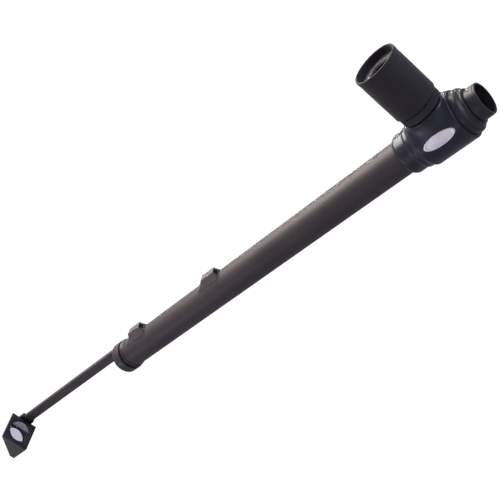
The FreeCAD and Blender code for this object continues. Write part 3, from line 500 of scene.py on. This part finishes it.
def knurled_focus_ring():
    low, high = bounds_mm("focus_ring")
    outer, base, top = (high.x - low.x) / 2, low.z, high.z
    centre = ((low.x + high.x) / 2, 0.0)
    bore, counterbore, ledge = 17.4, 21.1, top - 3.9
    corners = banded([
        (base, outer - 0.5, 0.3), (top, outer - 0.5, 0.3), (top, bore, 0.1), (ledge, bore, 0.0),
        (ledge, counterbore, 0.0), (base, counterbore, 0.1),
    ], base + 0.5, top - 0.5, outer, count=24)
    ribs = ribbed(90, 0.24, base + 1.9, top - 1.9)
    ring = lathe("knurled_focus_ring", corners, "Z", centre, turns=720, shape=ribs)
    finished(ring, "focus_ring", ANODISED_Z)


# ---- head: one casting whose eyepiece boss runs into it with a broad soft fillet ----

BOSS_R = 23.4                         # radius of the eyepiece boss
BLEND = 8.0                           # reach of the fillet between boss and head
FILLET_FULL = 11.0                    # height above the axis at which the fillet is at its full size
FILLET_END = (4.0, 0.8)               # depths below the boss's top over which the fillet fades out
KEY_CLEAR = (1.8, 5.0)                # distances from the key screw over which the fillet fades in
KEEP_FRONT, KEEP_REAR, KEEP_TOP = 0.8, 0.5, 0.5    # margins that keep their CAD shape
SKIN_IN, SKIN_OUT = -0.9, 1.5         # a point this near the unblended skin is moved to the blend
SHORT_WAY = 0.3                       # least squared length of the way out, so that steps stay short


def head_outline():
    """The head's (station, radius) over its collar, its step and its full width."""
    low, high = bounds_mm("head_body")
    front, rear, head_r = low.x, high.x, -low.z
    return [
        (front, 21.2), (front + 4.0, 23.2), (front + 15.6, 23.2), (front + 17.6, 24.9),
        (front + 22.0, 24.9), (front + 26.4, head_r), (rear, head_r),
    ]


HEAD_OUTLINE = head_outline()
BOSS_TOP = bounds_mm("head_body")[1].z
KEY_Z = sum(corner.z for corner in bounds_mm("key_screw")) / 2


def head_radius(station):
    for (a, low), (b, high) in zip(HEAD_OUTLINE, HEAD_OUTLINE[1:]):
        if station <= b:
            return low + (high - low) * max(0.0, station - a) / (b - a)
    return HEAD_OUTLINE[-1][1]


def skin(x, y, z):
    """A point's distance outside the blended skin, the way out of it, and the fillet's height."""
    along = x - EYE_X / MM
    round_head, round_boss = math.hypot(y, z), math.hypot(along, y)
    off_head = round_head - head_radius(x)
    off_boss = round_boss - BOSS_R if z > 0 else math.inf
    share = max(0.0, 1.0 - abs(off_head - off_boss) / BLEND)
    lift = BLEND * share * share / 4 * ramp_up(z, 0.0, FILLET_FULL)
    lift *= 1 - ramp_up(z, *(BOSS_TOP - depth for depth in FILLET_END))
    if y > 0:
        lift *= ramp_up(math.hypot(along, z - KEY_Z), *KEY_CLEAR)
    head_share = min(1.0, max(0.0, 0.5 + 0.5 * (off_boss - off_head) / BLEND))
    way = (Vector((0, y, z)) * head_share / max(round_head, 1.0)
           + Vector((along, y, 0)) * (1 - head_share) / max(round_boss, 1.0))
    return min(off_head, off_boss) - lift, way, lift


def head_casting():
    """The CAD head, remeshed, with its outer points moved onto the blended skin."""
    mesh = even_mesh("head_body", "head_casting", size=0.7, passes=6)
    front, rear = HEAD_OUTLINE[0][0] + KEEP_FRONT, HEAD_OUTLINE[-1][0] - KEEP_REAR
    for vertex in mesh.vertices:
        point = vertex.co / MM
        if front < point.x < rear and point.z < BOSS_TOP - KEEP_TOP:
            outside, way, lift = skin(*point)
            if SKIN_IN < outside + lift < SKIN_OUT:
                for _ in range(5):                # a few steps settle the point on the skin
                    point = point - way * outside / max(SHORT_WAY, way.length_squared)
                    outside, way, lift = skin(*point)
                vertex.co = point * MM
    smooth(finished(mesh, "head_body", sharp=ALL_SMOOTH), passes=14)


def oval_badge():
    """A plain oval plate with a raised border, bent to the head's side."""
    low, high = bounds_mm("badge_plate")
    centre, half_length, half_width = (low.x + high.x) / 2, (high.x - low.x) / 2, 6.6
    tilt = math.radians(12)               # how far round the head the plate sits above its side
    seat = 0.05
    section = [                           # share of the way to the rim, and height there
        (0.0, 0.42), (0.35, 0.44), (0.7, 0.42), (0.80, 0.38), (0.84, 0.40), (0.87, 0.70),
        (0.90, 0.76), (0.95, 0.76), (0.985, 0.66), (1.0, 0.50), (1.0, 0.0),
    ]
    turns = 96
    bm = bmesh.new()

    def at(share, height, angle):
        x = centre + share * half_length * math.cos(angle)
        bend = tilt + share * half_width * math.sin(angle) / head_radius(x)
        out = Vector((0.0, -math.cos(bend), math.sin(bend)))
        r = head_radius(x)
        for _ in range(6):                # a few steps settle the radius on the skin
            r -= skin(x, *(out.yz * r))[0]
        return bm.verts.new((Vector((x, 0.0, 0.0)) + out * (r + seat + height)) * MM)

    middle = at(0.0, section[0][1], 0.0)
    back = at(0.0, 0.0, 0.0)
    rings = [
        [at(share, height, 2 * math.pi * k / turns) for k in range(turns)]
        for share, height in section[1:]
    ]
    for k in range(turns):
        n = (k + 1) % turns
        bm.faces.new((middle, rings[0][k], rings[0][n]))
        for inner, outer in zip(rings, rings[1:]):
            bm.faces.new((inner[k], outer[k], outer[n], inner[n]))
        bm.faces.new((back, rings[-1][n], rings[-1][k]))
    bmesh.ops.recalc_face_normals(bm, faces=bm.faces)
    finished(as_mesh("oval_badge", bm), "badge_plate")


# ---- rear port, cap and knob ----

SLEEVE_R, STOP_R = 17.0, 13.4         # outside of the port sleeve, and the light hole in its stop


def rear_cover():
    """The cover, stepping down in soft shoulders from its rim to the port."""
    low, high = bounds_mm("rear_cover")
    rim, front, rear = high.z, low.x, high.x
    bore, spigot, face = SLEEVE_R + 0.1, 23.3, front + 1.5
    cover = lathe("rear_cover_turned", [
        (front, bore, 0.0), (front, spigot, 0.0), (face, spigot, 0.0), (face, rim + 0.4, 0.4),
        (front + 8.6, rim + 0.2, 3.4), (front + 11.2, 20.9, 2.2), (rear - 0.2, 20.6, 1.4),
        (rear, 18.6, 0.4), (rear, bore, 0.0),
    ], "X")
    finished(cover, "rear_cover")


def port_sleeve():
    low, high = bounds_mm("port_sleeve")
    neck, front, rear = high.z, low.x, high.x
    shoulder, stop, bore = rear - 12.6, rear - PORT["length_mm"], PORT["r_mm"]
    sleeve = lathe("port_sleeve_turned", [
        (front, STOP_R, 0.0), (front, SLEEVE_R, 0.0), (shoulder, SLEEVE_R, 0.0),
        (shoulder, neck, 0.2), (rear - 2.6, neck, 0.5), (rear - 2.2, neck - 0.3, 0.3),
        (rear, neck - 0.3, 0.7), (rear, bore, 0.25), (stop, bore, 0.0), (stop, STOP_R, 0.0),
    ], "X")
    finished(sleeve, "port_sleeve")


def end_cap():
    """The bevelled cap that closes the end ring round the objective."""
    low, high = bounds_mm("end_cap")
    front, rear, radius = low.x, high.x, high.z
    bore = 17.0
    cap = lathe("end_cap_turned", [
        (rear, bore, 0.0), (rear, radius, 0.1), (rear - 0.9, radius, 0.8),
        (front + 1.2, radius - 0.9, 1.6), (front, radius - 2.2, 1.0), (front, bore + 1.2, 0.4),
        (front + 1.0, bore, 0.5),
    ], "X")
    finished(cap, "end_cap", CAP)


def knurled_knob():
    """The flip mirror's knob, dished at its end and bored for the shaft."""
    low, high = bounds_mm("flip_knob")
    radius, near, far = (high.x - low.x) / 2, low.y, high.y
    centre = ((low.x + high.x) / 2, (low.z + high.z) / 2)
    bore, bore_end, dish = 2.05, near + 6.6, far - 0.5
    corners = banded([
        (near, radius - 0.6, 0.4), (far - 0.1, radius - 0.9, 0.5), (far, radius - 1.6, 0.4),
        (dish, radius - 2.4, 0.5), (dish, ON_AXIS, 0.0), (bore_end, ON_AXIS, 0.0),
        (bore_end, bore, 0.0), (near, bore, 0.1),
    ], near + 0.6, far - 0.9, radius, count=22)
    ribs = ribbed(36, 0.35, near + 1.2, far - 1.5)
    knob = lathe("knurled_knob", corners, "Y", centre, turns=288, shape=ribs)
    finished(knob, "flip_knob", ANODISED_Y)


# ---- sights, screws, prism and soft-edged copies ----

FLARE = 0.9                           # share by which a side's angle round the tube grows at its foot
FLARE_HEIGHT = 9.0                    # height above the tube at which the flare begins
SIDE = (3.2, 4.8)                     # distances off the middle over which the flare fades in
SINK = 0.8                            # depth to which a sight's underside sinks into the tube


def cast_sight(node):
    """A sight whose sides run out over the tube in a broad soft fillet."""
    mesh = even_mesh(node, node + "_cast", size=0.35, passes=8)
    tube = bounds_mm("main_tube")[1].z
    for vertex in mesh.vertices:
        x, y, z = vertex.co / MM
        r, angle = math.hypot(y, z), math.atan2(y, z)
        height = max(0.0, r - tube)
        angle *= 1.0 + FLARE * max(0.0, 1.0 - height / FLARE_HEIGHT) ** 2 * ramp_up(abs(y), *SIDE)
        r -= SINK * max(0.0, 1.0 - height / SINK)
        vertex.co = Vector((x, r * math.sin(angle), r * math.cos(angle))) * MM
    # painted highlight: the sights take the paler copy of the tube's paint
    finished(mesh, node, SIGHT_PAINTED_HIGHLIGHT, sharp=ALL_SMOOTH)


def socket_screws(node):
    """A node's two screws, in a row along X, with a hexagon socket in each head on the +Y side."""
    low, high = bounds_mm(node)
    radius, tip, top = (high.z - low.z) / 2, low.y, high.y
    height = (low.z + high.z) / 2
    shank, socket, mouth = 1.4, 1.05, 1.25
    under, bottom = top - 1.4, top - 0.9

    def hexagon(station, r, angle):
        """Draws the socket's corners out from the circle that its flats touch."""
        if 0.2 < r < mouth + 0.05:
            return r / math.cos((angle + math.pi / 6) % (math.pi / 3) - math.pi / 6)
        return r

    bm = bmesh.new()
    for x in (low.x + radius, high.x - radius):
        one = lathe(node + "_one", [
            (bottom, ON_AXIS, 0.0), (bottom, socket, 0.0), (top - 0.05, socket, 0.0),
            (top, mouth, 0.1), (top, radius, 0.35), (under, radius, 0.1), (under, shank, 0.0),
            (tip, shank, 0.0), (tip, ON_AXIS, 0.0),
        ], "Y", (x, height), turns=48, shape=hexagon)
        bm.from_mesh(one)
        bpy.data.meshes.remove(one)
    finished(as_mesh(node + "_socket", bm), node)


def glass_prism():
    """The prism with chamfered edges, polished on its working faces and ground on its sides, which carry a faint
    painted glow.
    """
    least = 1e-4                          # square metres: a chamfer is smaller and a face is larger
    bm = flattened("right_angle_prism")
    bmesh.ops.bevel(bm, geom=list(bm.edges), offset=0.25 * MM, segments=1, affect="EDGES")
    bm.normal_update()
    for face in bm.faces:
        working = face.calc_area() > least and abs(face.normal.y) < 0.5
        face.material_index = 0 if working else 1
    finished(as_mesh("glass_prism", bm), "right_angle_prism", COATED, GROUND_GLASS_AND_GLOW, sharp=10)


def softened(node, width, *materials):
    """A copy of a CAD node whose crisp edges are rounded over width millimetres."""
    bm = flattened(node)
    crisp = [e for e in bm.edges if len(e.link_faces) == 2 and e.calc_face_angle(0) > CRISP]
    bmesh.ops.bevel(bm, geom=crisp, offset=width * MM, segments=2, profile=0.5,
                    affect="EDGES", clamp_overlap=True)
    bmesh.ops.triangulate(bm, faces=[f for f in bm.faces if len(f.verts) > 4])
    finished(as_mesh(node + "_finished", bm), node, *materials)


# ---- camera, light and ground ----

LAMPS = {       # place and aim in metres, width in metres, power in watts, tint
    "key": ((-0.65, 0.55, 1.25), (-0.50, 0.0, 0.0), 1.2, 46.0, (1.0, 0.92, 0.86)),
    "rim": ((-0.5, 2.1, 0.9), (-0.45, 0.0, 0.0), 3.0, 44.0, (1.0, 0.93, 0.88)),
    "fill": ((0.5, -1.3, 0.9), (-0.4, 0.0, 0.0), 1.4, 1.5, (0.80, 0.86, 1.0)),
    "side": ((1.2, 0.1, 0.5), (-0.1, 0.0, 0.0), 0.8, 7.0, (0.76, 0.82, 1.0)),
    "wash": ((-1.0, -1.3, 0.0), (-0.2, 0.0, 0.03), 1.0, 1.6, (1.0, 0.86, 1.0)),
    "kick": ((-1.15, -0.7, 0.1), (-0.9, 0.0, 0.0), 0.4, 1.2, (0.92, 0.90, 1.0)),
}


def facing(place, aim):
    """The turn that points a camera or lamp from place to aim."""
    return (Vector(aim) - Vector(place)).to_track_quat("-Z", "Y").to_matrix().to_4x4()


def camera():
    """At the photograph's viewing angle."""
    place, aim = (0.2924, -0.7662, 0.3800), (-0.3274, 0.0, 0.0186)
    roll = math.radians(-52.04)
    data = bpy.data.cameras.new("camera")
    data.lens = 64.64
    data.clip_end = 200.0
    eye = add("camera", data)
    eye.matrix_world = Matrix.Translation(place) @ facing(place, aim) @ Matrix.Rotation(roll, 4, "Z")
    bpy.context.scene.camera = eye


def soft_light(name, place, aim, size, power, tint):
    """A round lamp that the camera doesn't see."""
    data = bpy.data.lights.new(name, "AREA")
    data.shape = "DISK"
    data.size = size
    data.energy = power
    data.color = tint
    lamp = add(name, data)
    lamp.matrix_world = Matrix.Translation(place) @ facing(place, aim)
    lamp.visible_camera = False


def lamps():
    for name, facts in LAMPS.items():
        soft_light(name, *facts)
    rim = bpy.data.lights["rim"]
    rim.cycles.use_multiple_importance_sampling = False    # with it, the eye lens speckles


def overexposed():
    """The ground's white, which glows as if overexposed."""
    p = Paint("floor_white", Specular_IOR_Level=0.0, Emission_Strength=1.04)
    p.glow(p.between(p.noise(900, 2), (0.99, 0.99, 0.99), (1.0, 1.0, 1.0)))
    p.colour(p.between(p.noise(900, 2), (0.02, 0.02, 0.02), (0.03, 0.03, 0.03)))
    return p.material


def floor(material):
    """A pale floor that throws nothing back at the object."""
    reach, level = 95.0, -0.6
    mesh = bpy.data.meshes.new("floor")
    corners = [(-reach, -reach), (reach, -reach), (reach, reach), (-reach, reach)]
    mesh.from_pydata([(x, y, level) for x, y in corners], [], [(0, 1, 2, 3)])
    mesh.materials.append(material)
    sweep = add("floor", mesh)
    sweep.visible_diffuse = False
    sweep.visible_glossy = False


def backdrop(material):
    """A white dome that only the camera sees, so that the ground is as pale from every side."""
    bm = bmesh.new()
    bmesh.ops.create_icosphere(bm, subdivisions=4, radius=30.0)
    mesh = as_mesh("backdrop", bm)
    mesh.materials.append(material)
    dome = add("backdrop", mesh)
    for ray in ("diffuse", "glossy", "transmission", "volume_scatter", "shadow"):
        setattr(dome, "visible_" + ray, False)


def sky():
    """A white band at the horizon between a dim lavender ground and ceiling."""
    world = bpy.data.worlds.new("studio")
    bpy.context.scene.world = world
    world.use_nodes = True
    tree = world.node_tree
    place = tree.nodes.new("ShaderNodeTexCoord")
    parts = tree.nodes.new("ShaderNodeSeparateXYZ")
    level = tree.nodes.new("ShaderNodeMapRange")
    level.inputs["From Min"].default_value = -1.0
    ramp = tree.nodes.new("ShaderNodeValToRGB")
    tree.links.new(place.outputs["Generated"], parts.inputs[0])
    tree.links.new(parts.outputs["Z"], level.inputs["Value"])
    tree.links.new(level.outputs["Result"], ramp.inputs["Fac"])
    back = tree.nodes["Background"]
    tree.links.new(ramp.outputs["Color"], back.inputs["Color"])
    back.inputs["Strength"].default_value = 1.05
    ground, white, ceiling = (0.33, 0.31, 0.39, 1), (1, 1, 1, 1), (0.34, 0.32, 0.39, 1)
    stops = [                             # from 0, straight down, to 1, straight up
        (0.0, ground), (0.480, ground), (0.490, white),
        (0.518, white), (0.528, ceiling), (1.0, ceiling),
    ]
    while len(ramp.color_ramp.elements) < len(stops):
        ramp.color_ramp.elements.new(0.5)
    for stop, (position, colour) in zip(ramp.color_ramp.elements, stops):
        stop.position = position
        stop.color = colour


def studio():
    white = overexposed()
    sky()
    lamps()
    floor(white)
    backdrop(white)
    camera()
    bpy.context.scene.view_settings.view_transform = "Standard"


# ---- the object ----


def paint_cad_nodes():
    """Gives every CAD node its slot's look, and three of them a closer one."""
    for name, node in frame["nodes"].items():
        node.data.materials.clear()
        node.data.materials.append(LOOKS[slot_of(name)])
    for name in ("eyepiece_barrel", "eye_bezel"):
        frame["nodes"][name].data.materials[0] = ANODISED_Z
    frame["nodes"]["focuser_guide"].data.materials[0] = LOOKS["matt_black"]


def main():
    paint_cad_nodes()
    rubber_eyecup()
    knurled_focus_ring()
    head_casting()
    knurled_knob()
    rear_cover()
    port_sleeve()
    end_cap()
    for node in ("arm_screws", "bracket_screws"):
        socket_screws(node)
    oval_badge()
    glass_prism()
    softened("prism_arm", 0.4)
    softened("end_ring", 0.4, CAP)
    # the bracket takes the near-black copy of the arm's paint, which is painted shade
    softened("arm_bracket", 0.4, BRACKET_PAINTED_SHADE)
    for node in ("front_sight", "rear_sight"):
        cast_sight(node)
    for node in ("near_side_plate", "far_side_plate", "prism_cover", "bottom_plate"):
        softened(node, 0.3)
    softened("front_plate", 0.3, FRONT)
    studio()


main()
